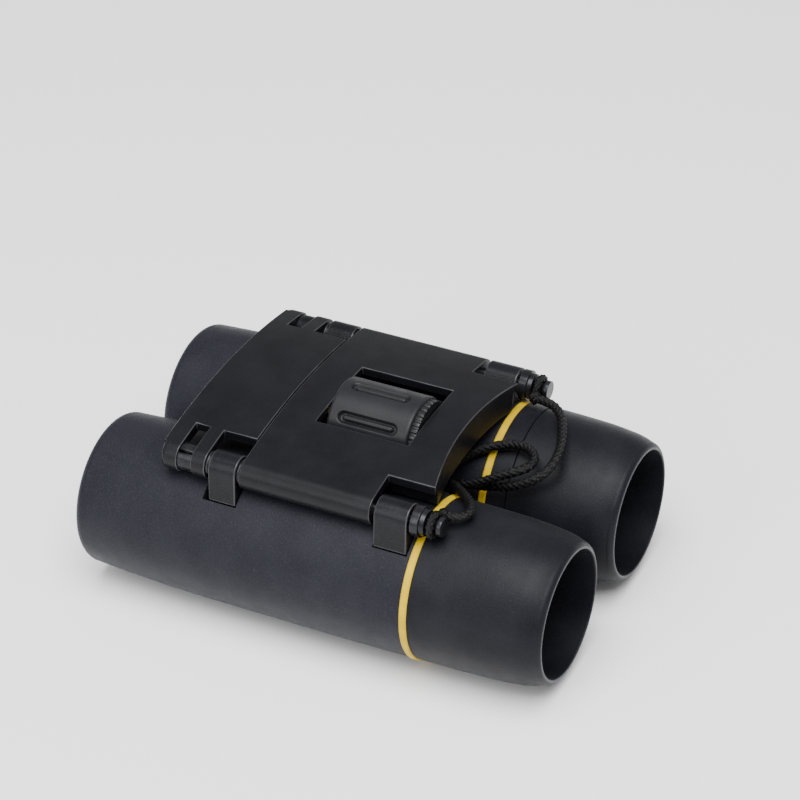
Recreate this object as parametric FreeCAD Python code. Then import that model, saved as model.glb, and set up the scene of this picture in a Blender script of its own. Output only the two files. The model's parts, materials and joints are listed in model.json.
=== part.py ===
import FreeCAD, Part
import math
import os

V = FreeCAD.Vector

# Compact folding roof-prism binoculars, folded shut.  Millimetres.
# The pieces are worked out with y counted from the eyepiece rims and z from the barrel axes.
# save() then moves them to the row's frame: the middle of the length, and the barrels' undersides.

# Overall
LENGTH = 100.0
BARREL_R = 16.4
HALF_SEPARATION = 17.35
TO_ROW = V(0, -LENGTH / 2, BARREL_R)

# Hinge pins and knuckles
PIN_X = 24.4
PIN_Z = 18.5
PIN_R = 1.2
KNUCKLE_R = 3.1
RUNNING = 0.05

# Bridge plates: an arch across X that runs tangent into the knuckles
PLATE_TOP = 24.0
PLATE_T = 1.8
RISE = PLATE_TOP - PIN_Z
ARCH_R = (RISE ** 2 + PIN_X ** 2 - KNUCKLE_R ** 2) / (2 * (RISE - KNUCKLE_R))
PLATE_HALF = PIN_X * ARCH_R / (ARCH_R - KNUCKLE_R)
REAR_START = 26.9
REAR_END = 64.6
SEAM = 0.25
FRONT_START = REAR_END + SEAM
FRONT_END = 82.0
NOTCH_X = 18.8
NOSE_DEPTH = 2.4
SKIRT_HALF = 17.0
SKIRT_BOTTOM = 17.3
HOLLOW_HALF = 15.2
HOLLOW = (31.6, 62.4)

# Stations along the hinge
REAR_LUG = (28.9, 35.8)
LONG_KNUCKLE_START = 36.7
FRONT_LUG = (65.4, 71.2)
FRONT_KNUCKLE = (72.1, 75.15)
END_LOBE = (78.25, FRONT_END)
PIN_SPAN = (26.7, 79.5)

# Focus wheel and screw
WHEEL_Z = 18.25
WHEEL_R = 8.27
WHEEL_CORE_R = 6.3
WHEEL_TEETH = (37.15, 38.55)
WHEEL_GRIP = (38.6, 55.9)
WHEEL_RIBS = 7
RIB_SPAN = (41.8, 53.4)
WINDOW_HALF = 10.0
WINDOW = (36.9, 56.7)
SCREW_R = 2.4
FOCUS_TRAVEL = 1.2

# Barrels
TUBE_OUT_R = 14.4
TUBE_IN_R = 13.2
TUBE_SPAN = (9.5, 95.4)
CELL_R = TUBE_IN_R - RUNNING
TRIM = (26.55, 28.05)
EYECUP_END = 26.5
DIOPTRE_SEAM = (22.3, 22.6)
MOUTH_R = 12.75
FRONT_MOUTH_R = 12.6
LUG_FOOT_ANGLE = (12.0, 40.3)
SLOT_ANGLE = (7.0, 41.2)

# Cord
CORD_D = 1.9
CORD_R = CORD_D / 2
HANK_CENTRE = (57.7, 24.0)
HANK_RUN = 33.0
HANK_TURN_R = 5.5
HANK_LAYERS = 3
TIE_T = 0.5
TIE_LENGTH = 7.0


def save(name, shape):
    """Writes a piece to parts/, moved to the row's frame."""
    moved = shape.copy()
    moved.translate(TO_ROW)
    save_in_row(name, moved)


def save_in_row(name, shape):
    if not shape.isValid() or not shape.Solids:
        raise ValueError(name + " isn't a valid solid")
    os.makedirs("parts", exist_ok=True)
    shape.exportStep("parts/" + name + ".step")


def rod(x, z, start, end, radius):
    """A cylinder along Y."""
    return Part.makeCylinder(radius, end - start, V(x, start, z), V(0, 1, 0))


def block(x0, x1, y0, y1, z0, z1):
    return Part.makeBox(x1 - x0, y1 - y0, z1 - z0, V(x0, y0, z0))


def turned(x, steps):
    """A solid turned about the barrel axis at x.  steps: (y, r) corners, or ((y, r), (y, r)) for an arc's middle and end."""
    first = steps[0]
    edges = []
    here = V(0, first[0], first[1])
    for step in steps[1:] + [first]:
        if isinstance(step[0], tuple):
            middle, end = (V(0, *point) for point in step)
            edges.append(Part.Arc(here, middle, end).toShape())
        else:
            end = V(0, *step)
            edges.append(Part.LineSegment(here, end).toShape())
        here = end
    solid = Part.Face(Part.Wire(edges)).revolve(V(0, 0, 0), V(0, 1, 0), 360)
    solid.translate(V(x, 0, 0))
    return solid


def sector(x, start, end, r_in, r_out, angles, side):
    """A curved block around the barrel axis at x, between two angles from the top towards the pin."""
    low, high = (math.radians(angle) for angle in angles)
    middle = (low + high) / 2

    def at(radius, angle):
        return V(x + side * radius * math.sin(angle), start, radius * math.cos(angle))

    wire = Part.Wire([
        Part.Arc(at(r_in, low), at(r_in, middle), at(r_in, high)).toShape(),
        Part.LineSegment(at(r_in, high), at(r_out, high)).toShape(),
        Part.Arc(at(r_out, high), at(r_out, middle), at(r_out, low)).toShape(),
        Part.LineSegment(at(r_out, low), at(r_in, low)).toShape(),
    ])
    return Part.Face(wire).extrude(V(0, end - start, 0))


def under_arch(start, end, half, bottom, drop=0.0):
    """The space below the arched top, or below the plate where drop is its thickness."""
    arch = rod(0, PLATE_TOP - ARCH_R, start, end, ARCH_R - drop)
    return arch.common(block(-half, half, start, end, bottom, PLATE_TOP + 1))


def arch_band(start, end, thickness=PLATE_T):
    """A stretch of the arched plate, out to where it runs into the knuckles."""
    whole = under_arch(start, end, PLATE_HALF, 0)
    return whole.cut(under_arch(start - 1, end + 1, PLATE_HALF + 1, -1, thickness))


def both_sides(make):
    """The fused pair of a piece that make(side) gives for side -1 and 1."""
    return make(-1).fuse(make(1))


# ---------------------------------------------------------------- the bridge

def rear_bridge():
    plate = arch_band(REAR_START, REAR_END)
    skirt = under_arch(REAR_START, REAR_END, SKIRT_HALF, SKIRT_BOTTOM)
    body = plate.fuse(skirt)
    body = body.cut(under_arch(*HOLLOW, HOLLOW_HALF, 0, PLATE_T))
    body = body.cut(both_sides(lambda s: block(
        min(s * NOTCH_X, s * 40), max(s * NOTCH_X, s * 40), REAR_START - 1, LONG_KNUCKLE_START, 0, 40)))
    body = body.fuse(both_sides(lambda s: rod(s * PIN_X, PIN_Z, LONG_KNUCKLE_START, REAR_END, KNUCKLE_R)))
    nose_r = (NOTCH_X ** 2 + NOSE_DEPTH ** 2) / (2 * NOSE_DEPTH)
    nose = Part.makeCylinder(nose_r, 60, V(0, REAR_START + NOSE_DEPTH - nose_r, -20))
    body = body.cut(nose)
    for start, end in ((HOLLOW[0] - 0.2, 36.2), (57.2, 60.0)):
        boss = rod(0, WHEEL_Z, start, end, 4.2)
        web = under_arch(start, end, 4.2, WHEEL_Z)
        body = body.fuse([boss, web])
    for x, y in cover_screw_places():
        body = body.fuse(Part.makeCylinder(1.7, 4.6, V(x, y, 18.4)))
    body = body.cut(rod(0, WHEEL_Z, 32.6, 61, SCREW_R + RUNNING))
    body = body.cut(rod(0, WHEEL_Z, 61, 70, 3.9))
    body = body.cut(block(-WINDOW_HALF, WINDOW_HALF, *WINDOW, 12, 30))
    body = body.cut(both_sides(lambda s: rod(s * PIN_X, PIN_Z, *PIN_SPAN, PIN_R)))
    for x, y in cover_screw_places():
        body = body.cut(Part.makeCylinder(0.8, 3.4, V(x, y, 18.0)))
    return body.removeSplitter()


def cover_screw_places():
    return [(x, y) for x in (-12.6, 12.6) for y in (34.4, 59.6)]


def bridge_cover():
    bottom, top = SKIRT_BOTTOM, 18.4
    cover = block(-HOLLOW_HALF + 0.1, HOLLOW_HALF - 0.1, HOLLOW[0] + 0.1, HOLLOW[1] - 0.1, bottom, top)
    cover = cover.cut(block(-9.4, 9.4, 36.6, 57.0, 0, 40))
    cover = cover.cut(block(-4.5, 4.5, 31, 63, 0, 40))
    for x, y in cover_screw_places():
        cover = cover.cut(Part.makeCylinder(0.8, 3, V(x, y, 16.5)))
    return cover


def bridge_cover_screws():
    screws = []
    for x, y in cover_screw_places():
        head = Part.makeCylinder(1.5, 0.7, V(x, y, SKIRT_BOTTOM - 0.7))
        slot = block(x - 2, x + 2, y - 0.2, y + 0.2, SKIRT_BOTTOM - 1, SKIRT_BOTTOM - 0.4)
        shank = Part.makeCylinder(0.8, 3.9, V(x, y, SKIRT_BOTTOM - 0.1))
        screws.append(head.fuse(shank).cut(slot))
    return Part.makeCompound(screws)


def hinge_pin(side):
    return rod(side * PIN_X, PIN_Z, *PIN_SPAN, PIN_R)


def strap_eye(side):
    """The head on the pin's rear end: two discs, a neck for the cord and a button that keeps it on."""
    x = side * PIN_X
    head = rod(x, PIN_Z, 26.7, 28.4, KNUCKLE_R).fuse([
        rod(x, PIN_Z, 25.7, 26.7, 2.6),
        rod(x, PIN_Z, 23.2, 25.8, PIN_R),
        rod(x, PIN_Z, 22.5, 23.5, 1.9),
    ])
    return head.cut(rod(x, PIN_Z, *PIN_SPAN, PIN_R)).removeSplitter()


def front_bridge():
    body = arch_band(FRONT_START, FRONT_END)
    wall = arch_band(79.6, FRONT_END, 4.4)
    bump = rod(0, 19.3, 79.6, FRONT_END, 3.4).common(block(-5, 5, 79, 83, 10, 22))
    body = body.fuse([wall, bump])
    body = body.cut(both_sides(lambda s: block(
        min(s * NOTCH_X, s * 40), max(s * NOTCH_X, s * 40), FRONT_START - 1, FRONT_KNUCKLE[0], 0, 40)))
    body = body.cut(both_sides(lambda s: block(
        min(s * NOTCH_X, s * 40), max(s * NOTCH_X, s * 40), FRONT_KNUCKLE[1], END_LOBE[0], 0, 40)))
    for side in (-1, 1):
        x = side * PIN_X
        lobe = rod(x, PIN_Z, *END_LOBE, KNUCKLE_R)
        rim = [edge for edge in lobe.Edges if edge.BoundBox.YMin > FRONT_END - 0.01]
        lobe = lobe.makeFillet(1.2, rim)
        knuckle = rod(x, PIN_Z, *FRONT_KNUCKLE, KNUCKLE_R)
        shoulder = rod(x, PIN_Z, FRONT_LUG[1] + RUNNING, FRONT_KNUCKLE[0] + 0.1, 2.3)
        body = body.fuse([lobe, knuckle, shoulder])
    nut_wall = rod(0, WHEEL_Z, 68.6, 72.0, 5.0).fuse(under_arch(68.6, 72.0, 5.0, WHEEL_Z))
    body = body.fuse(nut_wall)
    body = body.cut(rod(0, WHEEL_Z, 68, 73, 3.6))
    for side in (-1, 1):
        x = side * PIN_X
        body = body.cut(rod(x, PIN_Z, 60, 81.2, PIN_R + RUNNING))
        body = body.cut(rod(x, PIN_Z, 70, 74.1, 1.9))
    return body.removeSplitter()


def focus_nut():
    nut = rod(0, WHEEL_Z, 67.6, 73.0, 3.6).fuse(rod(0, WHEEL_Z, 67.0, 68.6, 3.9))
    return nut.cut(rod(0, WHEEL_Z, 60, 80, SCREW_R + RUNNING)).removeSplitter()


def lug_bush(side):
    """The sleeve that the front lug turns on, with the flange that draws the lug back."""
    x = side * PIN_X
    sleeve = rod(x, PIN_Z, FRONT_START, 74.1, 1.9)
    flange = rod(x, PIN_Z, FRONT_START, FRONT_LUG[0] - RUNNING, 2.6)
    return sleeve.fuse(flange).cut(rod(x, PIN_Z, 60, 80, PIN_R + RUNNING)).removeSplitter()


def friction_clip(side):
    """The split spring sleeve that grips the pin and holds the hinge where it is put."""
    x = side * PIN_X
    clip = rod(x, PIN_Z, FRONT_KNUCKLE[1], END_LOBE[0], 2.75)
    clip = clip.cut(rod(x, PIN_Z, 70, 80, PIN_R + RUNNING))
    split = block(-0.3, 0.3, 70, 80, 0, 4)
    split.rotate(V(0, 0, 0), V(0, 1, 0), side * 35)
    split.translate(V(x, 0, PIN_Z))
    return clip.cut(split)


# ---------------------------------------------------------------- the focus wheel

def wheel_hub():
    hub = rod(0, WHEEL_Z, WHEEL_TEETH[0], WHEEL_GRIP[1], WHEEL_CORE_R)
    disc = rod(0, WHEEL_Z, *WHEEL_TEETH, 7.8)
    groove = rod(0, WHEEL_Z + 8.0, WHEEL_TEETH[0] - 1, WHEEL_TEETH[1] + 1, 0.42)
    grooves = []
    for number in range(36):
        cutter = groove.copy()
        cutter.rotate(V(0, 0, WHEEL_Z), V(0, 1, 0), number * 10)
        grooves.append(cutter)
    hub = hub.fuse(disc.cut(grooves))
    return hub.cut(rod(0, WHEEL_Z, 30, 60, SCREW_R)).removeSplitter()


def capsule(half_width, start, end, bottom, top):
    """An upright slab with round ends, along Y over the wheel's axis."""
    height = top - bottom
    slab = block(-half_width, half_width, start, end, bottom, top)
    return slab.fuse([
        Part.makeCylinder(half_width, height, V(0, start, bottom)),
        Part.makeCylinder(half_width, height, V(0, end, bottom)),
    ])


def wheel_grip():
    grip = rod(0, WHEEL_Z, *WHEEL_GRIP, WHEEL_R)
    grip = grip.makeFillet(0.5, [e for e in grip.Edges if e.Closed])
    pockets, ribs = [], []
    for number in range(WHEEL_RIBS):
        pocket = capsule(1.0, RIB_SPAN[0] + 1, RIB_SPAN[1] - 1, WHEEL_R - 0.9, WHEEL_R + 1)
        rib = capsule(0.45, RIB_SPAN[0] + 1, RIB_SPAN[1] - 1, WHEEL_R - 1.1, WHEEL_R + 0.05)
        for shape, group in ((pocket, pockets), (rib, ribs)):
            shape.rotate(V(0, 0, 0), V(0, 1, 0), number * 360 / WHEEL_RIBS)
            shape.translate(V(0, 0, WHEEL_Z))
            group.append(shape)
    grip = grip.cut(pockets).fuse(ribs)
    return grip.cut(rod(0, WHEEL_Z, 30, 60, WHEEL_CORE_R)).removeSplitter()


def focus_screw():
    return rod(0, WHEEL_Z, 33.0, 75.5, SCREW_R)


# ---------------------------------------------------------------- the barrels

def lug(span, foot_r, side):
    """The hook that hangs a barrel from the pin: an eye, a neck and a curved foot let into the barrel."""
    x = side * HALF_SEPARATION
    pin_x = side * PIN_X
    start, end = span
    low, high = (math.radians(angle) for angle in LUG_FOOT_ANGLE)
    outer = BARREL_R + 0.05
    foot_out = V(x + side * outer * math.sin(high), start, outer * math.cos(high))
    foot_in = V(x + side * outer * math.sin(low), start, outer * math.cos(low))
    neck = Part.Wire([
        Part.LineSegment(V(pin_x + side * KNUCKLE_R, start, PIN_Z), foot_out).toShape(),
        Part.LineSegment(foot_out, V(x, start, foot_r)).toShape(),
        Part.LineSegment(V(x, start, foot_r), foot_in).toShape(),
        Part.LineSegment(foot_in, V(pin_x - side * KNUCKLE_R, start, PIN_Z)).toShape(),
        Part.LineSegment(V(pin_x - side * KNUCKLE_R, start, PIN_Z),
                         V(pin_x + side * KNUCKLE_R, start, PIN_Z)).toShape(),
    ])
    neck = Part.Face(neck).extrude(V(0, end - start, 0))
    neck = neck.cut(rod(x, 0, start - 1, end + 1, outer - 0.4))
    eye = rod(pin_x, PIN_Z, start, end, KNUCKLE_R)
    foot = sector(x, start, end, foot_r, outer, LUG_FOOT_ANGLE, side)
    return eye.fuse([neck, foot])


def lug_screws(stations, seat_r, side):
    """Two screws from inside the barrel, radially into the lug's foot."""
    x = side * HALF_SEPARATION
    screws = []
    for y in stations:
        head = Part.makeCylinder(1.3, 0.7, V(0, y, seat_r - 0.7))
        shank = Part.makeCylinder(0.7, 15.4 - seat_r, V(0, y, seat_r - 0.1))
        screw = head.fuse(shank)
        screw.rotate(V(0, 0, 0), V(0, 1, 0), side * sum(LUG_FOOT_ANGLE) / 2)
        screw.translate(V(x, 0, 0))
        screws.append(screw)
    return Part.makeCompound(screws)


def armour(side):
    """The soft-touch sleeve, with a thick rounded rim round the objective and cut-outs for the lugs."""
    x = side * HALF_SEPARATION
    shell = turned(x, [
        (TRIM[1], TUBE_OUT_R),
        (TRIM[1], 16.12),
        ((35.0, 16.3), (42.0, BARREL_R)),
        (72.0, BARREL_R),
        ((86.0, 16.1), (98.0, 15.5)),
        ((99.4, 14.95), (LENGTH, 13.9)),
        (LENGTH, 13.3),
        ((99.75, 12.8), (99.2, FRONT_MOUTH_R)),
        (TUBE_SPAN[1], FRONT_MOUTH_R),
        (TUBE_SPAN[1], TUBE_OUT_R),
    ])
    rear = sector(x, REAR_LUG[0] - 0.15, REAR_LUG[1] + 0.15, TUBE_OUT_R - 1, 18, SLOT_ANGLE, side)
    front = sector(x, FRONT_LUG[0] - 0.2, FRONT_LUG[1] + FOCUS_TRAVEL + 0.1,
                   TUBE_OUT_R - 1, 18, SLOT_ANGLE, side)
    return shell.cut([rear, front])


def barrel_tube(side):
    x = side * HALF_SEPARATION
    tube = rod(x, 0, *TUBE_SPAN, TUBE_OUT_R).cut(rod(x, 0, 0, LENGTH, TUBE_IN_R))
    slot = sector(x, FRONT_LUG[0] - 0.2, FRONT_LUG[1] + FOCUS_TRAVEL + 0.1,
                  TUBE_IN_R - 1, TUBE_OUT_R + 1, SLOT_ANGLE, side)
    tube = tube.cut(slot).cut(lug_screws((30.8, 33.9), TUBE_IN_R - 0.1, side))
    if side > 0:
        tube = tube.cut(block(x - 1.0, x + 1.0, 16.8, 20.4, -16, -12))
    return tube


def eyecup(side):
    """The rubber eyepiece sleeve.  The right one ends at the seam of the dioptre ring and turns."""
    x = side * HALF_SEPARATION
    end, bore, end_r = EYECUP_END, TUBE_OUT_R, 16.1
    if side > 0:
        end, bore, end_r = DIOPTRE_SEAM[0], TUBE_OUT_R + RUNNING, 16.04
    shape = turned(x, [
        (TUBE_SPAN[0], bore),
        (TUBE_SPAN[0], MOUTH_R),
        (0.45, MOUTH_R),
        ((0.1, 12.85), (0.0, 13.1)),
        ((0.45, 13.83), (1.3, 14.2)),
        ((3.3, 14.85), (6.0, 15.3)),
        ((9.0, 15.62), (12.5, 15.82)),
        ((18.5, 15.99), (end, end_r)),
        (end, bore),
    ])
    if side > 0:
        groove = rod(x, 0, 16.4, 20.8, 15.3).cut(rod(x, 0, 16.0, 21.2, bore))
        shape = shape.cut(groove)
    return shape


def eyepiece_collar():
    """The fixed ring ahead of the dioptre seam on the right barrel."""
    return turned(HALF_SEPARATION, [
        (DIOPTRE_SEAM[1], TUBE_OUT_R),
        (DIOPTRE_SEAM[1], 16.04),
        (EYECUP_END, 16.1),
        (EYECUP_END, TUBE_OUT_R),
    ])


def trim_ring(side):
    start, end = TRIM
    return turned(side * HALF_SEPARATION, [
        (start, TUBE_OUT_R),
        (start, 16.2),
        (start + 0.25, BARREL_R),
        (end - 0.25, BARREL_R),
        (end, 16.2),
        (end, TUBE_OUT_R),
    ])


def ocular_cell(side):
    x = side * HALF_SEPARATION
    cell = turned(x, [
        (10.6, CELL_R),
        (10.6, 12.2),
        (11.6, 10.6),
        (12.3, 8.4),
        (12.3, 9.0),
        (16.4, 9.0),
        (16.4, 8.4),
        (22.4, 9.6),
        (22.4, 10.5),
        (27.0, 10.5),
        (27.0, CELL_R),
    ])
    if side > 0:
        cell = cell.cut(dioptre_pin())
    return cell


def dioptre_pin():
    """The peg that keys the right eyepiece to the dioptre ring, through a slot in the tube."""
    return Part.makeCylinder(0.9, 3.2, V(HALF_SEPARATION, 18.6, -15.1))


def lens(side, start, end, radius, rear_sag, front_sag):
    """A lens with spherical faces that bulge out by their sags."""
    x = side * HALF_SEPARATION
    disc = rod(x, 0, start - rear_sag - 1, end + front_sag + 1, radius)
    rear_r, front_r = ((radius ** 2 + sag ** 2) / (2 * sag) for sag in (rear_sag, front_sag))
    rear = Part.makeSphere(rear_r, V(x, start - rear_sag + rear_r, 0))
    front = Part.makeSphere(front_r, V(x, end + front_sag - front_r, 0))
    return disc.common(rear).common(front)


def prism_housing(side):
    x = side * HALF_SEPARATION
    housing = rod(x, 0, 36.5, 60.0, TUBE_IN_R)
    housing = housing.cut(block(x - 8.0, x + 8.0, 38.4, 60.1, -8.4, 8.4))
    return housing.cut(rod(x, 0, 36, 61, 7.6))


def roof_prisms(side):
    """A half-penta prism and a roof prism, face to face across a thin air gap."""
    x = side * HALF_SEPARATION
    outlines = (
        [(38.6, -8.2), (38.6, 8.2), (45.0, 8.2), (50.4, -8.2)],
        [(46.0, 8.2), (56.4, 8.2), (58.6, 5.2), (58.6, -5.2), (55.6, -8.2), (51.4, -8.2)],
    )
    prisms = []
    for outline in outlines:
        points = [V(x - 7.8, y, z) for y, z in outline]
        wire = Part.makePolygon(points + [points[0]])
        prisms.append(Part.Face(wire).extrude(V(15.6, 0, 0)))
    roof = Part.makePolygon([V(x, 50, 9.5), V(x - 9, 50, 0.5), V(x - 9, 50, 9.5), V(x, 50, 9.5)])
    for sign in (1, -1):
        cutter = Part.Face(roof).extrude(V(0, 20, 0))
        if sign < 0:
            cutter = cutter.mirror(V(x, 0, 0), V(1, 0, 0))
        prisms[1] = prisms[1].cut(cutter)
    return Part.makeCompound(prisms)


def front_baffle(side):
    """The ribbed light baffle between the objective and the rim."""
    start, end = 89.8, TUBE_SPAN[1]
    ribs = 5
    pitch = (end - start) / ribs
    steps = [(start, TUBE_IN_R)]
    for number in range(ribs):
        base = start + number * pitch
        crest = 11.3 + 1.0 * number / (ribs - 1)
        steps += [(base, crest), (base + 0.35 * pitch, crest), (base + 0.5 * pitch, crest + 0.6),
                  (base + 0.9 * pitch, crest + 0.6)]
    steps += [(end, 12.5), (end, TUBE_IN_R)]
    return turned(side * HALF_SEPARATION, steps)


def objective_cell(side):
    x = side * HALF_SEPARATION
    cell = turned(x, [
        (62.0, CELL_R),
        (62.0, 11.9),
        (80.0, 11.9),
        (80.0, 10.8),
        (83.4, 10.8),
        (83.4, 11.4),
        (88.3, 11.4),
        (88.3, CELL_R),
    ])
    return cell.cut(lug_screws((66.9, 69.7), 11.8, side))


def lens_ring(side):
    return turned(side * HALF_SEPARATION, [
        (87.0, 11.4),
        (87.0, 10.7),
        (88.3, 11.1),
        (88.3, 11.4),
    ])


# ---------------------------------------------------------------- the neck cord, in the row's frame

def cord_tube(name, points):
    """Straight runs joined by tangent arcs, each as large as its two runs allow."""
    points = [V(*point) for point in points]
    radii = []
    edges = []
    here = points[0]
    for before, corner, after in zip(points, points[1:], points[2:]):
        back, on = before - corner, after - corner
        turn = math.pi - back.getAngle(on)
        reach = 0.45 * min(back.Length, on.Length)
        radii.append(reach / math.tan(turn / 2))
        back.normalize()
        on.normalize()
        enter, leave = corner + back * reach, corner + on * reach
        centre = corner + (back + on).normalize() * (radii[-1] / math.cos(turn / 2))
        middle = centre + (corner - centre).normalize() * radii[-1]
        edges.append(Part.LineSegment(here, enter).toShape())
        edges.append(Part.Arc(enter, middle, leave).toShape())
        here = leave
    edges.append(Part.LineSegment(here, points[-1]).toShape())
    path = Part.Wire(edges)
    section = Part.Wire(Part.makeCircle(CORD_R, points[0], points[1] - points[0]))
    tube = path.makePipeShell([section], True, False)
    long = path.Length
    print(f"{name}: {long:.1f} mm, volume ratio {tube.Volume / (math.pi * CORD_R ** 2 * long):.4f},",
          "radii", " ".join(f"{radius:.1f}" for radius in radii))
    return tube, long


# From the right strap eye, round behind the right eyepiece, under the bridge and out between
# the barrels, down to the surface and round to the hank beside the right barrel.
RIGHT_ROUTE = [
    (20.8, -26.2, 34.9),
    (20.8, -29.3, 34.8),
    (18.6, -32.4, 34.4),
    (14.2, -34.7, 34.1),
    (9.0, -36.6, 33.7),
    (4.2, -36.9, 32.7),
    (1.2, -35.0, 31.0),
    (0.3, -31.2, 28.8),
    (0.6, -26.6, 27.0),
    (0.7, -21.6, 25.9),
    (1.1, -15.2, 24.8),
    (1.35, -5.0, 24.3),
    (1.4, 6.0, 24.2),
    (0.8, 16.0, 23.2),
    (0.1, 25.0, 21.4),
    (0.0, 34.2, 20.2),
    (-0.1, 41.0, 15.6),
    (0.0, 45.4, 9.0),
    (0.6, 49.2, 3.4),
    (4.2, 52.8, 1.2),
    (11.0, 53.6, 0.95),
    (20.0, 52.8, 0.95),
    (30.0, 53.0, 0.95),
    (40.0, 54.0, 1.2),
    (48.4, 53.4, 1.6),
    (53.4, 50.4, 2.2),
    (55.2, 46.8, 2.7),
]

# From the left strap eye, over the left eyepiece and under the bridge's rear edge, out again
# in a small loop, then back under the bridge and along the right strand.
LEFT_ROUTE = [
    (-20.8, -26.2, 34.8),
    (-20.2, -28.8, 34.6),
    (-17.9, -29.8, 34.5),
    (-15.2, -28.8, 34.3),
    (-12.0, -26.0, 33.4),
    (-8.4, -22.2, 31.9),
    (-5.1, -18.6, 29.9),
    (-1.6, -16.6, 28.6),
    (2.4, -17.0, 28.8),
    (5.4, -19.6, 30.2),
    (7.4, -23.4, 31.6),
    (8.6, -27.6, 32.4),
    (7.4, -31.4, 32.6),
    (4.2, -33.2, 32.4),
    (1.4, -31.9, 32.1),
    (-0.1, -28.3, 30.9),
    (-1.0, -24.0, 28.4),
    (-1.4, -19.4, 26.5),
    (-1.5, -14.0, 25.0),
    (-1.4, -5.0, 24.4),
    (-1.4, 6.0, 24.4),
    (-0.8, 16.0, 25.0),
    (0.0, 25.4, 24.2),
    (0.0, 35.2, 22.8),
    (0.1, 41.6, 18.2),
    (0.0, 46.8, 11.4),
    (0.4, 51.4, 5.2),
    (4.0, 55.0, 1.9),
    (11.0, 56.2, 0.95),
    (20.0, 55.4, 0.95),
    (30.0, 55.6, 0.95),
    (40.0, 56.8, 1.3),
    (49.6, 56.8, 1.9),
    (56.6, 54.0, 2.7),
    (59.6, 49.8, 3.3),
    (60.0, 46.4, 3.6),
]


def hank():
    """The folded hank's outer shape."""
    x, y = HANK_CENTRE
    half = HANK_TURN_R + CORD_R
    height = HANK_LAYERS * CORD_D
    bar = block(x - half, x + half, y - HANK_RUN / 2, y + HANK_RUN / 2, TIE_T, TIE_T + height)
    ends = [Part.makeCylinder(half, height, V(x, y + end * HANK_RUN / 2, TIE_T)) for end in (-1, 1)]
    return bar.fuse(ends).removeSplitter()


def hank_tie():
    x, y = HANK_CENTRE
    half = HANK_TURN_R + CORD_R
    height = HANK_LAYERS * CORD_D
    outer = block(x - half - TIE_T, x + half + TIE_T, y - TIE_LENGTH / 2, y + TIE_LENGTH / 2,
                  0, height + 2 * TIE_T)
    outer = outer.makeFillet(0.45, [e for e in outer.Edges if e.BoundBox.YLength > TIE_LENGTH - 0.1])
    return outer.cut(block(x - half, x + half, y - 20, y + 20, TIE_T, TIE_T + height))


def noose(side):
    """The cord's end, looped tight round the strap eye's neck, with its knot towards the middle."""
    loop = Part.makeTorus(2.2, CORD_R, V(0, 24.6, 0), V(0, 1, 0))
    ring = loop.fuse(Part.makeSphere(1.3, V(3.4, 24.5, 0)))
    if side > 0:
        ring.rotate(V(0, 0, 0), V(0, 1, 0), 180)
    return ring.translated(V(side * PIN_X, 0, PIN_Z))


def main():
    save("rear_bridge", rear_bridge())
    save("bridge_cover", bridge_cover())
    save("bridge_cover_screws", bridge_cover_screws())
    save("front_bridge", front_bridge())
    save("focus_nut", focus_nut())
    save("focus_wheel_hub", wheel_hub())
    save("focus_wheel_grip", wheel_grip())
    save("focus_screw", focus_screw())
    for name, side in (("left", -1), ("right", 1)):
        save(name + "_hinge_pin", hinge_pin(side))
        save(name + "_strap_eye", strap_eye(side))
        save(name + "_lug_bush", lug_bush(side))
        save(name + "_friction_clip", friction_clip(side))
        save(name + "_armour", armour(side))
        save(name + "_barrel_tube", barrel_tube(side))
        save(name + "_eyecup", eyecup(side))
        save(name + "_trim_ring", trim_ring(side))
        save(name + "_ocular_cell", ocular_cell(side))
        save(name + "_eye_lens", lens(side, 12.9, 15.6, 9.0, 0.6, 0.8))
        save(name + "_field_lens", lens(side, 23.6, 26.2, 10.5, 0.9, 0.6))
        save(name + "_prism_housing", prism_housing(side))
        save(name + "_roof_prisms", roof_prisms(side))
        save(name + "_front_baffle", front_baffle(side))
        pin_bore = rod(side * PIN_X, PIN_Z, 20, 60, PIN_R + RUNNING)
        bush_bore = rod(side * PIN_X, PIN_Z, 60, 80, 1.9 + RUNNING)
        rear_screws = lug_screws((30.8, 33.9), TUBE_IN_R - 0.1, side)
        front_screws = lug_screws((66.9, 69.7), 11.8, side)
        rear_lug = lug(REAR_LUG, TUBE_OUT_R, side).cut([pin_bore, rear_screws])
        front_lug = lug(FRONT_LUG, CELL_R, side).cut([bush_bore, front_screws])
        save(name + "_rear_lug", rear_lug.removeSplitter())
        save(name + "_rear_lug_screws", rear_screws)
        save(name + "_front_lug", front_lug.removeSplitter())
        save(name + "_front_lug_screws", front_screws)
        save(name + "_objective_cell", objective_cell(side))
        save(name + "_objective_lens", lens(side, 84.2, 86.2, 11.4, 0.5, 0.7))
        save(name + "_lens_ring", lens_ring(side))
        save(name + "_cord_noose", noose(side))
    save("right_eyepiece_collar", eyepiece_collar())
    save("right_dioptre_pin", dioptre_pin())
    right_tube, right_long = cord_tube("right run", RIGHT_ROUTE)
    left_tube, left_long = cord_tube("left run", LEFT_ROUTE)
    save_in_row("cord_right_run", right_tube)
    save_in_row("cord_left_run", left_tube)
    save_in_row("cord_hank", hank())
    save_in_row("cord_hank_tie", hank_tie())


main()
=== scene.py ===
import json
import math

import bmesh
import bpy
from mathutils import Matrix, Vector
from mathutils.bvhtree import BVHTree


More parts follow.
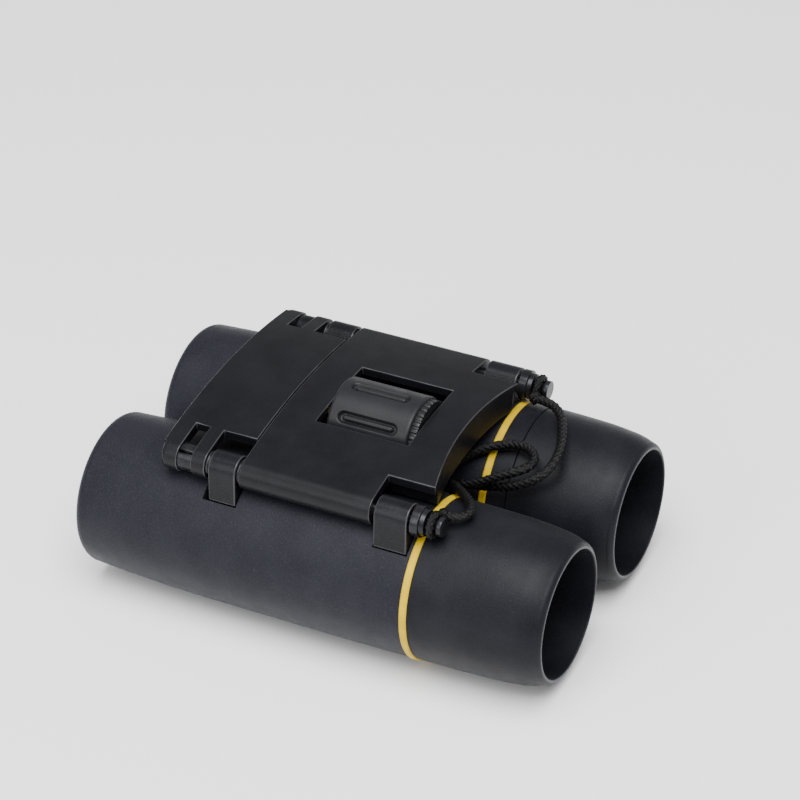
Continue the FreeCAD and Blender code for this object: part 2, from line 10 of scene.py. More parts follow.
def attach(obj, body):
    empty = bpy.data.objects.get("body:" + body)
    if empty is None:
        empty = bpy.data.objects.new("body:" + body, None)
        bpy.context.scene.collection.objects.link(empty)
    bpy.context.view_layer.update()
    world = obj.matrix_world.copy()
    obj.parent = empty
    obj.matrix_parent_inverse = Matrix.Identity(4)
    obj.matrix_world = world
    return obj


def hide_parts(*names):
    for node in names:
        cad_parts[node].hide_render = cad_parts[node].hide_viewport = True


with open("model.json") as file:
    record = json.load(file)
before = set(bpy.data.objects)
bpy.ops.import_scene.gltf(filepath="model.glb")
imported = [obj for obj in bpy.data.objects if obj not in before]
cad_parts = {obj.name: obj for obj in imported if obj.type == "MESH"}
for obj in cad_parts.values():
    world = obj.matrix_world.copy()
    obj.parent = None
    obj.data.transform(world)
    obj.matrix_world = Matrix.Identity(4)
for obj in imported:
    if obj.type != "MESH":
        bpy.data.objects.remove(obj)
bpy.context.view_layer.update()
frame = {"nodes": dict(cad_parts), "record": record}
NODES = frame["nodes"]
MM = 0.001
SIDES = (("left", -1), ("right", 1))


# ---------------------------------------------------------------- camera, floor and light

CAMERA_RIGHT = Vector((0.4408, -0.8973, -0.0254))
CAMERA_UP = Vector((0.5251, 0.2348, 0.8181))
CAMERA_BACK = Vector((-0.7280, -0.3740, 0.5746))
CAMERA_AT = Vector((-0.4160, -0.22024, 0.37062))
CAMERA_LENS = 133.0
SENSOR_WIDTH = 36.0
MIDDLE = Vector((0.012, 0.002, 0.018))
FLOOR_HALF = 3.0
FLOOR_COLOUR = (0.93, 0.93, 0.935, 1)
WORLD_STRENGTH = 0.55
LIGHTS = (
    # name, place, size, power in watts
    ("top", (-0.30, -0.15, 1.00), (0.8, 0.8), 26.0),
    ("key", (-0.70, 0.25, 0.45), (0.25, 0.55), 3.2),
)


def link(name, data):
    """A new object with this mesh, light, curve or camera, in the scene."""
    made = bpy.data.objects.new(name, data)
    bpy.context.scene.collection.objects.link(made)
    return made


def make_camera():
    """The camera at the viewing angle of the reference."""
    data = bpy.data.cameras.new("camera")
    data.lens = CAMERA_LENS
    data.sensor_width = SENSOR_WIDTH
    data.clip_start = 0.01
    data.clip_end = 20.0
    camera = link("camera", data)
    back = CAMERA_BACK.normalized()
    right = CAMERA_UP.cross(back).normalized()
    up = back.cross(right)
    turn = Matrix((right, up, back)).transposed().to_4x4()
    camera.matrix_world = Matrix.Translation(CAMERA_AT) @ turn
    bpy.context.scene.camera = camera


def area_light(name, place, size, power):
    """A rectangular light that faces the middle of the object."""
    data = bpy.data.lights.new(name, "AREA")
    data.shape = "RECTANGLE"
    data.size, data.size_y = size
    data.energy = power
    light = link(name, data)
    light.location = place
    direction = MIDDLE - Vector(place)
    light.rotation_euler = direction.to_track_quat("-Z", "Y").to_euler()


def make_stage():
    """The pale floor, the even light all round, and the two lights."""
    mesh = bpy.data.meshes.new("floor")
    half = FLOOR_HALF
    corners = [(-half, -half, 0), (half, -half, 0), (half, half, 0), (-half, half, 0)]
    mesh.from_pydata(corners, [], [(0, 1, 2, 3)])
    floor = link("floor", mesh)
    material, _, shader = new_material("floor_white")
    shader.inputs["Base Color"].default_value = FLOOR_COLOUR
    shader.inputs["Roughness"].default_value = 0.7
    mesh.materials.append(material)
    world = bpy.data.worlds.new("studio")
    world.use_nodes = True
    background = world.node_tree.nodes["Background"]
    background.inputs["Color"].default_value = (1, 1, 1, 1)
    background.inputs["Strength"].default_value = WORLD_STRENGTH
    bpy.context.scene.world = world
    for name, place, size, power in LIGHTS:
        area_light(name, place, size, power)


# ---------------------------------------------------------------- shader parts

# The Mix node's sockets for colours
MIX_COLOUR_A = 6
MIX_COLOUR_B = 7
MIX_COLOUR_RESULT = 2
TIP_BRIGHTNESS = 1.4
# The eyecups' lip: a painted highlight, full at the first height along y and gone by the second, in the
# colour below.
LIP_HIGHLIGHT_Y = -0.04998
LIP_HIGHLIGHT_END_Y = -0.04985
LIP_HIGHLIGHT_COLOUR = (0.075, 0.075, 0.082)


def new_material(name):
    """A material, its node tree and its shader."""
    material = bpy.data.materials.new(name)
    material.use_nodes = True
    tree = material.node_tree
    return material, tree, tree.nodes["Principled BSDF"]


def coordinates(tree, kind="Object", stretch=(1.0, 1.0, 1.0)):
    """The surface's own coordinates, scaled along each axis."""
    source = tree.nodes.new("ShaderNodeTexCoord")
    mapping = tree.nodes.new("ShaderNodeMapping")
    mapping.inputs["Scale"].default_value = stretch
    tree.links.new(source.outputs[kind], mapping.inputs["Vector"])
    return mapping.outputs["Vector"]


def noise(tree, vector, size_mm, detail=3.0):
    """A cloudy pattern with features of about this size."""
    node = tree.nodes.new("ShaderNodeTexNoise")
    node.inputs["Scale"].default_value = 1.0 / (size_mm * MM)
    node.inputs["Detail"].default_value = detail
    tree.links.new(vector, node.inputs["Vector"])
    return node.outputs["Fac"]


def two_tone(tree, value, dark, light, low=0.35, high=0.65):
    """A colour that goes from dark to light as the value goes from low to high."""
    ramp = tree.nodes.new("ShaderNodeValToRGB")
    ramp.color_ramp.elements[0].position = low
    ramp.color_ramp.elements[0].color = (*dark, 1)
    ramp.color_ramp.elements[1].position = high
    ramp.color_ramp.elements[1].color = (*light, 1)
    tree.links.new(value, ramp.inputs["Fac"])
    return ramp.outputs["Color"]


def spread(tree, value, to_low, to_high, low=0.3, high=0.7):
    """The value, with low and high moved to to_low and to_high."""
    node = tree.nodes.new("ShaderNodeMapRange")
    node.inputs["From Min"].default_value = low
    node.inputs["From Max"].default_value = high
    node.inputs["To Min"].default_value = to_low
    node.inputs["To Max"].default_value = to_high
    tree.links.new(value, node.inputs["Value"])
    return node.outputs["Result"]


def bump(tree, height, depth_mm, before=None):
    """A relief of this depth, on top of the relief before it."""
    node = tree.nodes.new("ShaderNodeBump")
    node.inputs["Distance"].default_value = depth_mm * MM
    tree.links.new(height, node.inputs["Height"])
    if before is not None:
        tree.links.new(before, node.inputs["Normal"])
    return node.outputs["Normal"]


def blended(tree, share, below, above):
    """The colour below, mixed towards the plain colour above by the share."""
    mix = tree.nodes.new("ShaderNodeMix")
    mix.data_type = "RGBA"
    tree.links.new(share, mix.inputs["Factor"])
    tree.links.new(below, mix.inputs[MIX_COLOUR_A])
    mix.inputs[MIX_COLOUR_B].default_value = (*above, 1)
    return mix.outputs[MIX_COLOUR_RESULT]


def moulded(name, dark, light, roughness, grain_mm, grain_depth_mm, sheen=0.0, coat=0.0, metallic=0.0,
            mottle_mm=7.0, stretch=(1.0, 1.0, 1.0), specular=0.22, speckle=0.0):
    """A surface with slow colour variation, uneven gloss and a fine grain with light tips."""
    material, tree, shader = new_material(name)
    coords = coordinates(tree, stretch=stretch)
    mottle = noise(tree, coords, mottle_mm, 5.0)
    grain = noise(tree, coords, grain_mm, 2.0)
    tips = spread(tree, grain, 0.0, speckle, 0.52, 0.70)
    tip_colour = [TIP_BRIGHTNESS * sum(light)] * 3
    tree.links.new(blended(tree, tips, two_tone(tree, mottle, dark, light), tip_colour),
                   shader.inputs["Base Color"])
    handling = noise(tree, coords, mottle_mm * 0.4, 4.0)
    gloss = spread(tree, handling, roughness - 0.03, roughness + 0.04)
    tree.links.new(gloss, shader.inputs["Roughness"])
    tree.links.new(bump(tree, grain, grain_depth_mm), shader.inputs["Normal"])
    shader.inputs["Metallic"].default_value = metallic
    shader.inputs["Specular IOR Level"].default_value = specular
    shader.inputs["Sheen Weight"].default_value = sheen
    shader.inputs["Sheen Roughness"].default_value = 0.45
    shader.inputs["Coat Weight"].default_value = coat
    shader.inputs["Coat Roughness"].default_value = 0.25
    return material


def paint_lip_highlight(material):
    """Paints a highlight on the eyecups' lip: a lighter colour along its rim."""
    tree = material.node_tree
    base = tree.nodes["Principled BSDF"].inputs["Base Color"]
    place = tree.nodes.new("ShaderNodeSeparateXYZ")
    tree.links.new(tree.nodes.new("ShaderNodeTexCoord").outputs["Object"], place.inputs[0])
    lip_highlight = spread(tree, place.outputs["Y"], 1.0, 0.0, LIP_HIGHLIGHT_Y, LIP_HIGHLIGHT_END_Y)
    tree.links.new(blended(tree, lip_highlight, base.links[0].from_socket, LIP_HIGHLIGHT_COLOUR), base)


def glass(name, tint, roughness, reflection, mist):
    """A polished lens or prism, with a coloured coating and faint dust."""
    material, tree, shader = new_material(name)
    coords = coordinates(tree)
    cloud = noise(tree, coords, 4.0, 4.0)
    tree.links.new(two_tone(tree, cloud, tint, tuple(min(1.0, c * 1.08) for c in tint)),
                   shader.inputs["Base Color"])
    dust = noise(tree, coords, 2.5, 2.0)
    tree.links.new(spread(tree, dust, roughness, roughness + mist, 0.5, 0.8), shader.inputs["Roughness"])
    shader.inputs["IOR"].default_value = 1.6
    shader.inputs["Transmission Weight"].default_value = 0.92
    shader.inputs["Specular Tint"].default_value = (*reflection, 1)
    shader.inputs["Specular IOR Level"].default_value = 0.9
    return material


def braid_material(name):
    """Black braided yarn: fine fibres, with a painted highlight on the strands' crowns and painted shade in
    the gaps between them.
    """
    material, tree, shader = new_material(name)
    along = coordinates(tree, "UV")
    wave = tree.nodes.new("ShaderNodeTexWave")
    wave.wave_type = "BANDS"
    wave.bands_direction = "DIAGONAL"
    wave.inputs["Scale"].default_value = 14.0
    wave.inputs["Distortion"].default_value = 2.5
    wave.inputs["Detail"].default_value = 2.0
    tree.links.new(along, wave.inputs["Vector"])
    coords = coordinates(tree)
    fuzz = noise(tree, coords, 0.16, 3.0)
    # The braid's height from the mesh, turned into colour: a painted highlight on the crowns and painted
    # shade in the gaps.
    crown = tree.nodes.new("ShaderNodeAttribute")
    crown.attribute_name = "crown"
    crown_highlight_share = tree.nodes.new("ShaderNodeMath")
    crown_highlight_share.operation = "POWER"
    crown_highlight_share.inputs[1].default_value = 5.0
    tree.links.new(crown.outputs["Fac"], crown_highlight_share.inputs[0])
    crown_highlight_gap_shade = two_tone(tree, crown_highlight_share.outputs[0], (0.0015, 0.0015, 0.0020), (0.036, 0.036, 0.042), 0.1, 0.9)
    tree.links.new(crown_highlight_gap_shade, shader.inputs["Base Color"])
    tree.links.new(spread(tree, fuzz, 0.36, 0.58), shader.inputs["Roughness"])
    shader.inputs["Specular IOR Level"].default_value = 0.22
    fibres = bump(tree, wave.outputs["Fac"], 0.04)
    tree.links.new(bump(tree, fuzz, 0.03, fibres), shader.inputs["Normal"])
    return material


def dress(node, material):
    """Gives a CAD node its material in every slot."""
    mesh = NODES[node].data
    if not mesh.materials:
        mesh.materials.append(material)
    for index in range(len(mesh.materials)):
        mesh.materials[index] = material


# ---------------------------------------------------------------- moulded and turned parts

MERGE = 2e-6
MERGE_AFTER = 1e-6
FLAT_ANGLE = math.radians(0.5)
SHARP_ANGLE = math.radians(30.0)
ROUND_SEGMENTS = 3
STRAY_SHARE = 0.6


def softened(node, body, width_mm, material, edge_material=None):
    """A piece in the place of a CAD node, with every sharp edge of the moulding or turning rounded.
    A vertex that the rounding throws off the node's skin is put back on it."""
    mesh = bpy.data.meshes.new(node + "_rounded")
    bm = bmesh.new()
    bm.from_mesh(NODES[node].data)
    bmesh.ops.remove_doubles(bm, verts=bm.verts, dist=MERGE)
    skin = BVHTree.FromBMesh(bm)
    bmesh.ops.dissolve_limit(bm, angle_limit=FLAT_ANGLE, use_dissolve_boundaries=False,
                             verts=bm.verts, edges=bm.edges, delimit=set())
    sharp = [edge for edge in bm.edges
             if len(edge.link_faces) == 2 and edge.calc_face_angle(0.0) > SHARP_ANGLE]
    # The rounded edges take edge_material when one is given: the painted edge highlight.
    bmesh.ops.bevel(bm, geom=sharp, offset=width_mm * MM, offset_type="OFFSET", segments=ROUND_SEGMENTS,
                    profile=0.5, affect="EDGES", clamp_overlap=False, material=1 if edge_material else -1)
    bmesh.ops.remove_doubles(bm, verts=bm.verts, dist=MERGE_AFTER)
    for vertex in bm.verts:
        nearest, _, _, distance = skin.find_nearest(vertex.co)
        if distance > STRAY_SHARE * width_mm * MM:
            vertex.co = nearest
    for face in bm.faces:
        face.smooth = True
    bm.to_mesh(mesh)
    bm.free()
    mesh.materials.append(material)
    if edge_material:
        mesh.materials.append(edge_material)
    piece = link(node + "_rounded", mesh)
    normals = piece.modifiers.new("normals", "WEIGHTED_NORMAL")
    normals.weight = 100
    normals.keep_sharp = False
    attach(piece, body)
    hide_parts(node)
    return piece


WHEEL_Z = 0.03465
WHEEL_R = 0.00827
WHEEL_BORE = 0.0063
GRIP_SPAN = (-0.0114, 0.0059)
GRIP_EDGE = 0.0005
GRIP_RIBS = 7
POCKET_HALF = 0.00135
POCKET_RUN = 0.0051
POCKET_DEPTH = 0.0009
RIB_HALF = 0.00062
RIB_RUN = 0.0049
RIB_HEIGHT = 0.00078
POCKET_MIDDLE = -0.0025
GRIP_COLUMNS = 60 * GRIP_RIBS
GRIP_ROWS = 84
GRIP_EDGE_SHARES = (0.0, 0.06, 0.2, 0.45, 0.75)
GRIP_SMOOTH_ANGLE = math.radians(50)


def grip_radius(angle, y):
    """The grip's outer surface: rounded ends, and seven long pockets with a rounded rib in each."""
    step = 2.0 * math.pi / GRIP_RIBS
    across = WHEEL_R * abs((angle + step / 2) % step - step / 2)
    lengthwise = abs(y - POCKET_MIDDLE)
    out_of_pocket = math.hypot(across, max(0.0, lengthwise - POCKET_RUN))
    out_of_rib = math.hypot(across, max(0.0, lengthwise - RIB_RUN))
    share = min(1.0, max(0.0, (POCKET_HALF - out_of_pocket) / (POCKET_HALF * 0.38)))
    depth = POCKET_DEPTH * share * share * (3.0 - 2.0 * share)
    rib = 0.0
    if out_of_rib < RIB_HALF:
        rib = RIB_HEIGHT * math.sqrt(1.0 - (out_of_rib / RIB_HALF) ** 3)
    end = min(y - GRIP_SPAN[0], GRIP_SPAN[1] - y)
    round_off = 0.0
    if end < GRIP_EDGE:
        round_off = GRIP_EDGE - math.sqrt(max(0.0, GRIP_EDGE ** 2 - (GRIP_EDGE - end) ** 2))
    return WHEEL_R - depth + rib - round_off


def make_grip(material):
    """The focus wheel's rubber sleeve, as one closed mesh round the wheel's core."""
    low, high = GRIP_SPAN
    inner = high - low - 2 * GRIP_EDGE
    rows = [low + GRIP_EDGE * share for share in GRIP_EDGE_SHARES]
    rows += [low + GRIP_EDGE + inner * index / GRIP_ROWS for index in range(GRIP_ROWS + 1)]
    rows += [high - GRIP_EDGE * share for share in reversed(GRIP_EDGE_SHARES)]
    mesh = bpy.data.meshes.new("focus_grip")
    bm = bmesh.new()
    angles = [2.0 * math.pi * column / GRIP_COLUMNS for column in range(GRIP_COLUMNS)]
    rings = [[(WHEEL_BORE, low)] * GRIP_COLUMNS]
    for y in rows:
        rings.append([(grip_radius(angle, y), y) for angle in angles])
    rings.append([(WHEEL_BORE, high)] * GRIP_COLUMNS)
    verts = []
    for ring in rings:
        verts.append([bm.verts.new((radius * math.sin(angle), y, WHEEL_Z + radius * math.cos(angle)))
                      for angle, (radius, y) in zip(angles, ring)])
    for index, ring in enumerate(verts):
        after = verts[(index + 1) % len(verts)]
        for column in range(GRIP_COLUMNS):
            beside = (column + 1) % GRIP_COLUMNS
            face = bm.faces.new((ring[column], ring[beside], after[beside], after[column]))
            face.smooth = True
    bmesh.ops.recalc_face_normals(bm, faces=bm.faces)
    for edge in bm.edges:
        edge.smooth = edge.calc_face_angle(0.0) < GRIP_SMOOTH_ANGLE
    bm.to_mesh(mesh)
    bm.free()
    mesh.materials.append(material)
    piece = link("focus_grip", mesh)
    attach(piece, "focus_wheel")
    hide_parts("focus_wheel_grip")


# ---------------------------------------------------------------- the cord's line

CORD_D = 0.0019
RIGHT_ROUTE = (
    (0.0208, -0.0262, 0.0349), (0.0208, -0.0293, 0.0348), (0.0186, -0.0324, 0.0344),
    (0.0142, -0.0347, 0.0341), (0.009, -0.0366, 0.0337), (0.0042, -0.0369, 0.0327),
    (0.0012, -0.035, 0.031), (0.0003, -0.0312, 0.0288), (0.0006, -0.0266, 0.027),
    (0.0007, -0.0216, 0.0259), (0.0011, -0.0152, 0.0248), (0.00135, -0.005, 0.0243),
    (0.0014, 0.006, 0.0242), (0.0008, 0.016, 0.0232), (0.0001, 0.025, 0.0214),
    (0.0, 0.0342, 0.0202), (-0.0001, 0.041, 0.0156), (0.0, 0.0454, 0.009), (0.0006, 0.0492, 0.0034),
    (0.0042, 0.0528, 0.0012), (0.011, 0.0536, 0.00095), (0.02, 0.0528, 0.00095),
    (0.03, 0.053, 0.00095), (0.04, 0.054, 0.0012), (0.0484, 0.0534, 0.0016),
    (0.0534, 0.0504, 0.0022), (0.0552, 0.0468, 0.0027),
)
LEFT_ROUTE = (
    (-0.0208, -0.0262, 0.0348), (-0.0202, -0.0288, 0.0346), (-0.0179, -0.0298, 0.0345),
    (-0.0152, -0.0288, 0.0343), (-0.012, -0.026, 0.0334), (-0.0084, -0.0222, 0.0319),
    (-0.0051, -0.0186, 0.0299), (-0.0016, -0.0166, 0.0286), (0.0024, -0.017, 0.0288),
    (0.0054, -0.0196, 0.0302), (0.0074, -0.0234, 0.0316), (0.0086, -0.0276, 0.0324),
    (0.0074, -0.0314, 0.0326), (0.0042, -0.0332, 0.0324), (0.0014, -0.0319, 0.0321),
    (-0.0001, -0.0283, 0.0309), (-0.001, -0.024, 0.0284), (-0.0014, -0.0194, 0.0265),
    (-0.0015, -0.014, 0.025), (-0.0014, -0.005, 0.0244), (-0.0014, 0.006, 0.0244),
    (-0.0008, 0.016, 0.025), (0.0, 0.0254, 0.0242), (0.0, 0.0352, 0.0228), (0.0001, 0.0416, 0.0182),
    (0.0, 0.0468, 0.0114), (0.0004, 0.0514, 0.0052), (0.004, 0.055, 0.0019),
    (0.011, 0.0562, 0.00095), (0.02, 0.0554, 0.00095), (0.03, 0.0556, 0.00095),
    (0.04, 0.0568, 0.0013), (0.0496, 0.0568, 0.0019), (0.0566, 0.054, 0.0027),
    (0.0596, 0.0498, 0.0033), (0.06, 0.0464, 0.0036),
)

HANK_X = 0.0577
HANK_Y = 0.0240
HANK_HALF_RUN = 0.0165
HANK_OUTER = 0.0055
HANK_INNER = 0.0036
HANK_LAYERS = (0.00145, 0.00335, 0.00525)
TURN_STEPS = 6
RUN_SHARES = (0.9, 0.35, -0.35, -0.9)
HANK_SLACK = 0.00012


def hank_route():
    """Six long turns, two side by side in each of three layers, wound from the outer bottom run to the outer
    top run. Each turn starts at the far end of its left run and ends at the far end of its right run."""
    outer, inner = HANK_OUTER, HANK_INNER
    low, middle, high = HANK_LAYERS
    turns = ((outer, low), (inner, low), (inner, middle), (outer, middle), (inner, high), (outer, high))
    points = []
    for index, (radius, height) in enumerate(turns):
        for part in RUN_SHARES:
            slack = HANK_SLACK * math.sin(5.0 * index + 3.0 * part)
            points.append((HANK_X - radius + slack, HANK_Y + HANK_HALF_RUN * part, height))
        for step in range(TURN_STEPS + 1):
            angle = math.pi * (1.0 + step / TURN_STEPS)
            points.append((HANK_X + radius * math.cos(angle),
                           HANK_Y - HANK_HALF_RUN + radius * math.sin(angle), height))
        for part in reversed(RUN_SHARES):
            slack = HANK_SLACK * math.sin(4.0 * index + 2.0 * part)
            points.append((HANK_X + radius + slack, HANK_Y + HANK_HALF_RUN * part, height))
        if index + 1 < len(turns):
            next_radius, next_height = turns[index + 1]
            for step in range(TURN_STEPS + 1):
                share = step / TURN_STEPS
                angle = math.pi * share
                wide = radius + (next_radius - radius) * share
                points.append((HANK_X + wide * math.cos(angle),
                               HANK_Y + HANK_HALF_RUN + wide * math.sin(angle),
                               height + (next_height - height) * share))
    return points


def spline_points(name, route, resolution, closed=False):
    """The points of the smooth NURBS line through a route."""
    curve = bpy.data.curves.new(name, "CURVE")
    curve.dimensions = "3D"
    curve.resolution_u = resolution
    spline = curve.splines.new("NURBS")
    spline.points.add(len(route) - 1)
    for point, place in zip(spline.points, route):
        point.co = (*place, 1.0)
    spline.order_u = 3
    if closed:
        spline.use_cyclic_u = True
    else:
        spline.use_endpoint_u = True
    holder = link(name, curve)
    bpy.context.view_layer.update()
    mesh = bpy.data.meshes.new_from_object(holder)
    points = [vertex.co.copy() for vertex in mesh.vertices]
    bpy.data.objects.remove(holder)
    bpy.data.curves.remove(curve)
    bpy.data.meshes.remove(mesh)
    return points


BRAID_STRANDS = 5
BRAID_STEP = 1.25 * MM
BRAID_DEPTH = 0.24
BRAID_LEVEL = 0.35
BRAID_SIDES = 35
RING_GAP = 0.19 * MM


def spaced(points, gap):
    """The points that lie at least a gap from the last one kept, with both ends."""
    kept = [points[0]]
    for point in points[1:-1]:
        if (point - kept[-1]).length >= gap and (point - points[-1]).length >= gap * 0.5:
            kept.append(point)
    return kept + [points[-1]]


def braid_height(around, along):
    """How far the crossing strands of a tubular braid stand proud, from -1 to 1."""
    one = around * BRAID_STRANDS + along / BRAID_STEP
    other = around * BRAID_STRANDS - along / BRAID_STEP
    over = (math.floor(one) + math.floor(other)) % 2 == 0
    across, lengthwise = (one, other) if over else (other, one)
    crown = math.sin(math.pi * (across % 1.0))
    arch = math.sin(math.pi * (lengthwise % 1.0))
    return 1.5 * crown ** 0.6 * (0.55 + 0.45 * arch) - 1.0


def braided_tube(name, path, diameter, closed=False):
    """A closed mesh tube along a path, with a tubular braid modelled in its surface."""
    count = len(path)
    sides = BRAID_SIDES
    turn = 2.0 * math.pi * diameter * 0.5
    lengths = [0.0]
    for a, b in zip(path, path[1:]):
        lengths.append(lengths[-1] + (b - a).length)
    mesh = bpy.data.meshes.new(name)
    bm = bmesh.new()
    uv_layer = bm.loops.layers.uv.new("along")
    crown_highlight_layer = bm.verts.layers.float.new("crown")
    rings = []
    normal = None
    for index, place in enumerate(path):
        before = path[index - 1] if index or closed else path[index]
        after = path[(index + 1) % count] if index + 1 < count or closed else path[index]
        tangent = (after - before).normalized()
        if normal is None:
            guess = Vector((0, 0, 1)) if abs(tangent.z) < 0.9 else Vector((1, 0, 0))
            normal = tangent.cross(guess).normalized()
        normal = (normal - tangent * normal.dot(tangent)).normalized()
        binormal = tangent.cross(normal)
        ring = []
        for side in range(sides):
            share = side / sides
            angle = 2.0 * math.pi * share
            height = braid_height(share, lengths[index])
            radius = diameter * 0.5 * (1.0 + BRAID_DEPTH * (height - BRAID_LEVEL))
            offset = (normal * math.cos(angle) + binormal * math.sin(angle)) * radius
            vertex = bm.verts.new(place + offset)
            # The braid's height, kept for the painted highlight on the strands' crowns and the painted shade
            # in their gaps.
            vertex[crown_highlight_layer] = 0.5 + 0.5 * height
            ring.append(vertex)
        rings.append(ring)
    joins = count if closed else count - 1
    for index in range(joins):
        here, there = rings[index], rings[(index + 1) % count]
        for side in range(sides):
            nxt = (side + 1) % sides
            face = bm.faces.new((here[side], here[nxt], there[nxt], there[side]))
            face.smooth = True
            s0 = lengths[index] / turn
            s1 = lengths[min(index + 1, count - 1)] / turn
            u0, u1 = side / sides, (side + 1) / sides
            for loop, uv in zip(face.loops, ((u0, s0), (u1, s0), (u1, s1), (u0, s1))):
                loop[uv_layer].uv = uv
    if not closed:
        for ring, flip in ((rings[0], True), (rings[-1], False)):
            centre = bm.verts.new(sum((v.co for v in ring), Vector()) / sides)
            for side in range(sides):
                a, b = ring[side], ring[(side + 1) % sides]
                face = bm.faces.new((b, a, centre) if flip else (a, b, centre))
                face.smooth = True
    bmesh.ops.recalc_face_normals(bm, faces=bm.faces)
    bm.to_mesh(mesh)
    bm.free()
    return link(name, mesh)


CORD_STEPS = 40
NOOSE_AT = (0.0244, -0.0254, 0.0349)
NOOSE_R = 0.00215
NOOSE_D = 0.0016
NOOSE_POINTS = 10
NOOSE_STEPS = 8
KNOT_AT = (0.0210, -0.0257, 0.0349)
KNOT_R = 0.00075
KNOT_R_CHANGE = 0.00025
KNOT_WAVE = 0.00040
KNOT_TURNS = 2.0
KNOT_D = 0.0013
KNOT_POINTS = 18
KNOT_STEPS = 5


def noose_route(side):
    """A ring round the strap eye's neck."""
    x, y, z = side * NOOSE_AT[0], NOOSE_AT[1], NOOSE_AT[2]
    points = []
    for step in range(NOOSE_POINTS):
        angle = 2.0 * math.pi * step / NOOSE_POINTS
        points.append((x + NOOSE_R * math.cos(angle), y, z + NOOSE_R * math.sin(angle)))
    return points


def knot_route(side):
    """Two small waving turns, where the cord is knotted to its noose."""
    x, y, z = side * KNOT_AT[0], KNOT_AT[1], KNOT_AT[2]
    points = []
    for step in range(KNOT_POINTS):
        angle = 2.0 * math.pi * step / KNOT_POINTS * KNOT_TURNS
        radius = KNOT_R + KNOT_R_CHANGE * math.cos(1.5 * angle)
        points.append((x + radius * math.cos(angle), y + KNOT_WAVE * math.sin(1.5 * angle),
                       z + radius * math.sin(angle)))
    return points


def make_cord():
    """The neck cord from eye to eye, the hank's tie, and a noose and knot at each strap eye."""
    weave = braid_material("cord_braid")
    strap = moulded("tie_strap", (0.012, 0.012, 0.013), (0.022, 0.022, 0.025), 0.45, 0.18, 0.015)
    tie = softened("cord_hank_tie", "bridge", 0.15, strap)
    route = list(RIGHT_ROUTE) + hank_route() + list(reversed(LEFT_ROUTE))
    path = spaced(spline_points("cord_line", route, CORD_STEPS), RING_GAP)
    cord = braided_tube("neck_cord", path, CORD_D)
    cord.data.materials.append(weave)
    nooses = []
    for side_name, side in SIDES:
        noose_line = spline_points("noose_line", noose_route(side), NOOSE_STEPS, closed=True)
        knot_line = spline_points("knot_line", knot_route(side), KNOT_STEPS, closed=True)
        noose = braided_tube(side_name + "_noose", noose_line, NOOSE_D, closed=True)
        knot = braided_tube(side_name + "_knot", knot_line, KNOT_D, closed=True)
        for piece in (noose, knot):
            piece.data.materials.append(weave)
            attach(piece, "bridge")
            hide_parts(side_name + "_cord_noose")
        nooses += [noose, knot]
    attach(cord, "bridge")
    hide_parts("cord_right_run", "cord_left_run", "cord_hank")


# ---------------------------------------------------------------- finishes of the CAD nodes

# How wide each node's edges are rounded, in mm
ROUNDING = {
    "rear_bridge": 0.18, "front_bridge": 0.18, "rear_lug": 0.25, "front_lug": 0.25, "strap_eye": 0.14,
    "hinge_pin": 0.12, "friction_clip": 0.10, "focus_wheel_hub": 0.05, "lug_bush": 0.08,
}
# These nodes' rounded edges get a lighter colour: a painted highlight along their edges.
HIGHLIGHTED_EDGES = ("rear_bridge", "front_bridge", "rear_lug", "front_lug")


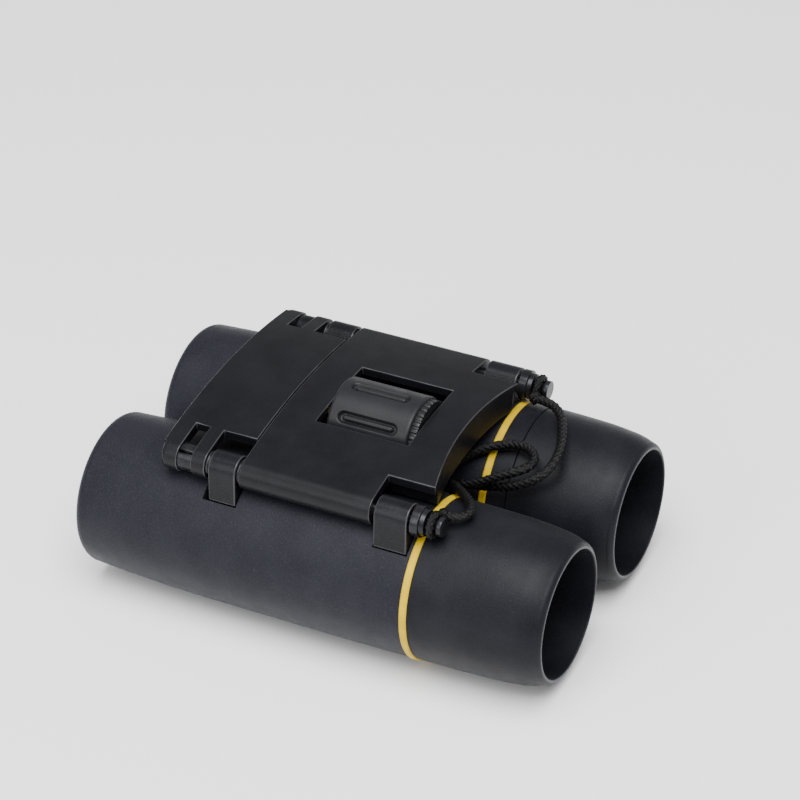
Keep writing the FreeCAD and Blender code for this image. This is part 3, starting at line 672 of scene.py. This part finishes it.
def make_finishes():
    """The material of each node, by its name without left_ or right_."""
    soft_touch = moulded("soft_touch_rubber", (0.0078, 0.0080, 0.0128), (0.0108, 0.0110, 0.0165), 0.48, 0.32,
                         0.045, sheen=0.02, specular=0.13, speckle=0.16)
    eyecup_rubber = moulded("eyecup_rubber", (0.0052, 0.0052, 0.0078), (0.0080, 0.0080, 0.0112), 0.46, 0.32,
                            0.038, sheen=0.02, specular=0.11, speckle=0.10)
    # A painted highlight along the eyecups' lip.
    paint_lip_highlight(eyecup_rubber)
    bridge = moulded("bridge_moulding", (0.0036, 0.0036, 0.0052), (0.0060, 0.0060, 0.0080), 0.38, 0.28, 0.016,
                     specular=0.16, speckle=0.10)
    lug = moulded("lug_moulding", (0.0035, 0.0035, 0.0050), (0.006, 0.006, 0.0085), 0.32, 0.28, 0.030,
                  specular=0.15, speckle=0.25)
    steel = moulded("dark_steel", (0.05, 0.05, 0.055), (0.12, 0.12, 0.13), 0.26, 0.10, 0.004, metallic=1.0,
                    mottle_mm=2.0, stretch=(1.0, 0.15, 1.0))
    black_metal = moulded("blackened_metal", (0.008, 0.008, 0.010), (0.020, 0.020, 0.024), 0.28, 0.10, 0.004,
                          metallic=0.5, coat=0.05, mottle_mm=2.5)
    brass = moulded("turned_brass", (0.50, 0.36, 0.13), (0.66, 0.50, 0.22), 0.30, 0.08, 0.004, metallic=1.0,
                    mottle_mm=2.0)
    wheel = moulded("wheel_moulding", (0.006, 0.006, 0.007), (0.012, 0.012, 0.014), 0.28, 0.15, 0.006,
                    coat=0.05)
    grip = moulded("grip_rubber", (0.0075, 0.0075, 0.0095), (0.0115, 0.0115, 0.0140), 0.42, 0.12, 0.012,
                   sheen=0.03)
    trim = moulded("golden_trim", (0.47, 0.31, 0.004), (0.56, 0.38, 0.007), 0.40, 0.10, 0.004,
                   mottle_mm=3.0, specular=0.12)
    alloy = moulded("anodised_alloy", (0.010, 0.010, 0.012), (0.016, 0.016, 0.019), 0.42, 0.10, 0.004,
                    metallic=0.4, mottle_mm=3.0)
    cell = moulded("flat_black", (0.003, 0.003, 0.004), (0.006, 0.006, 0.007), 0.60, 0.12, 0.006,
                   specular=0.12)
    clear = glass("clear_glass", (0.62, 0.74, 0.86), 0.004, (0.45, 0.60, 0.90), 0.012)
    coated = glass("blue_coated_glass", (0.42, 0.60, 0.98), 0.004, (0.30, 0.50, 1.0), 0.012)
    prism = glass("prism_glass", (0.62, 0.78, 1.0), 0.02, (0.55, 0.75, 1.0), 0.04)
    return {
        "rear_bridge": bridge, "front_bridge": bridge, "bridge_cover": cell,
        "bridge_cover_screws": black_metal,
        "hinge_pin": steel, "strap_eye": black_metal, "lug_bush": black_metal, "friction_clip": black_metal,
        "focus_nut": brass, "focus_screw": brass, "focus_wheel_hub": wheel, "focus_wheel_grip": grip,
        "armour": soft_touch, "eyecup": eyecup_rubber, "eyepiece_collar": eyecup_rubber, "trim_ring": trim,
        "barrel_tube": alloy, "front_baffle": cell, "prism_housing": cell, "roof_prisms": prism,
        "ocular_cell": cell, "objective_cell": cell, "lens_ring": alloy,
        "eye_lens": clear, "field_lens": clear,
        "objective_lens": coated, "rear_lug": lug, "front_lug": lug, "rear_lug_screws": black_metal,
        "front_lug_screws": black_metal, "dioptre_pin": steel,
    }


def dress_nodes():
    """Puts the finishes on the CAD nodes, or on the rounded pieces that stand for them."""
    finishes = make_finishes()
    # A lighter colour for the rounded edges of the bridge and lugs: a painted highlight along them.
    edge_highlight = moulded("edge_highlight", (0.016, 0.016, 0.019), (0.034, 0.034, 0.038), 0.34, 0.16, 0.006,
                          specular=0.35, mottle_mm=4.0)
    body_of = {node: body for body, nodes in frame["record"]["behaviour"]["bodies"].items() for node in nodes}
    for node in NODES:
        plain = node.split("_", 1)[1] if node.startswith(("left_", "right_")) else node
        if plain not in finishes:
            continue
        if plain == "focus_wheel_grip":
            make_grip(finishes[plain])
        elif plain in ROUNDING:
            edge_material = edge_highlight if plain in HIGHLIGHTED_EDGES else None
            softened(node, body_of[node], ROUNDING[plain], finishes[plain], edge_material)
        else:
            dress(node, finishes[plain])


make_camera()
make_cord()
dress_nodes()
make_stage()
